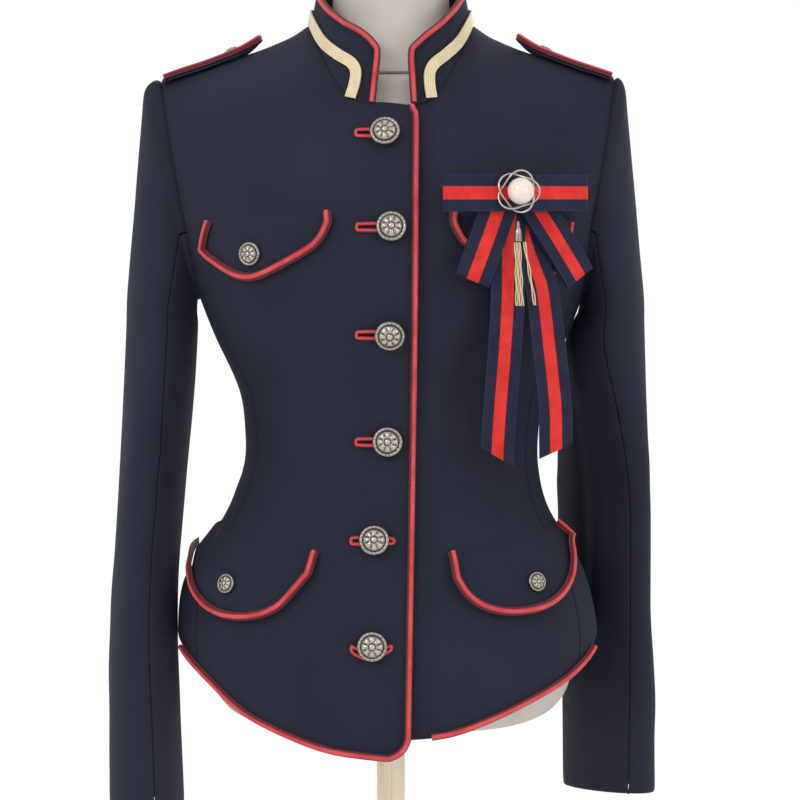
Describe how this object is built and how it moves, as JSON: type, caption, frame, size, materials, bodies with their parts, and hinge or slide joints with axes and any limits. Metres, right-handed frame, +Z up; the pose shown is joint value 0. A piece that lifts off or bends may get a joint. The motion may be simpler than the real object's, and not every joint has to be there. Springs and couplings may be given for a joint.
{
  "type": "military jacket on a dress form",
  "caption": "Fitted military jacket with stand collar, shoulder straps, pocket flaps, piping, ribbon bow and pearl brooch, on a limbless dress form and stand.",
  "frame": {"origin": "middle of the flat underside of the stand's round base", "axes": "+Z up along the stand's pole, -Y the way the jacket faces, -X the wearer's right"},
  "size_m": [0.4474, 0.3, 0.948],
  "materials": {
    "navy_wool": "dark navy wool cloth with a fine weave",
    "red_piping": "red woven cord",
    "gold_braid": "pale gold flat braid with lengthwise ribs",
    "ribbon": "navy ribbed ribbon with a red centre stripe",
    "silver": "antique silver, darker in the hollows",
    "pearl": "cream pearl",
    "form_cloth": "cream-grey linen cover",
    "stand_metal": "cream-gold satin enamel"
  },
  "bodies": {
    "root": {"back_left": "navy_wool", "back_right": "navy_wool", "bow_bar": "ribbon", "bow_loop_left": "ribbon", "bow_loop_right": "ribbon", "bow_tail_left": "ribbon", "bow_tail_right": "ribbon", "brooch_pearl": "pearl", "brooch_wire": "silver", "button_flap_chest_left": "silver", "button_flap_chest_right": "silver", "button_flap_hip_left": "silver", "button_flap_hip_right": "silver", "button_front_1": "silver", "button_front_2": "silver", "button_front_3": "silver", "button_front_4": "silver", "button_front_5": "silver", "button_front_6": "silver", "button_strap_left": "silver", "button_strap_right": "silver", "buttonhole_1": "red_piping", "buttonhole_2": "red_piping", "buttonhole_3": "red_piping", "buttonhole_4": "red_piping", "buttonhole_5": "red_piping", "buttonhole_6": "red_piping", "collar": "navy_wool", "collar_braid": "gold_braid", "flap_chest_left": "navy_wool", "flap_chest_right": "navy_wool", "flap_hip_left": "navy_wool", "flap_hip_right": "navy_wool", "form_neck": "form_cloth", "form_torso": "form_cloth", "front_left": "navy_wool", "front_right": "navy_wool", "piping_collar": "red_piping", "piping_flap_chest_left": "red_piping", "piping_flap_chest_right": "red_piping", "piping_flap_hip_left": "red_piping", "piping_flap_hip_right": "red_piping", "piping_front_left": "red_piping", "piping_front_right": "red_piping", "piping_strap_left": "red_piping", "piping_strap_right": "red_piping", "side_left": "navy_wool", "side_right": "navy_wool", "sleeve_under_left": "navy_wool", "sleeve_under_right": "navy_wool", "sleeve_upper_left": "navy_wool", "sleeve_upper_right": "navy_wool", "stand_base": "stand_metal", "stand_pole": "stand_metal", "strap_left": "navy_wool", "strap_right": "navy_wool", "tassel_cap": "silver", "tassel_chain": "pearl", "tassel_thread": "pearl"}
  },
  "joints": []
}
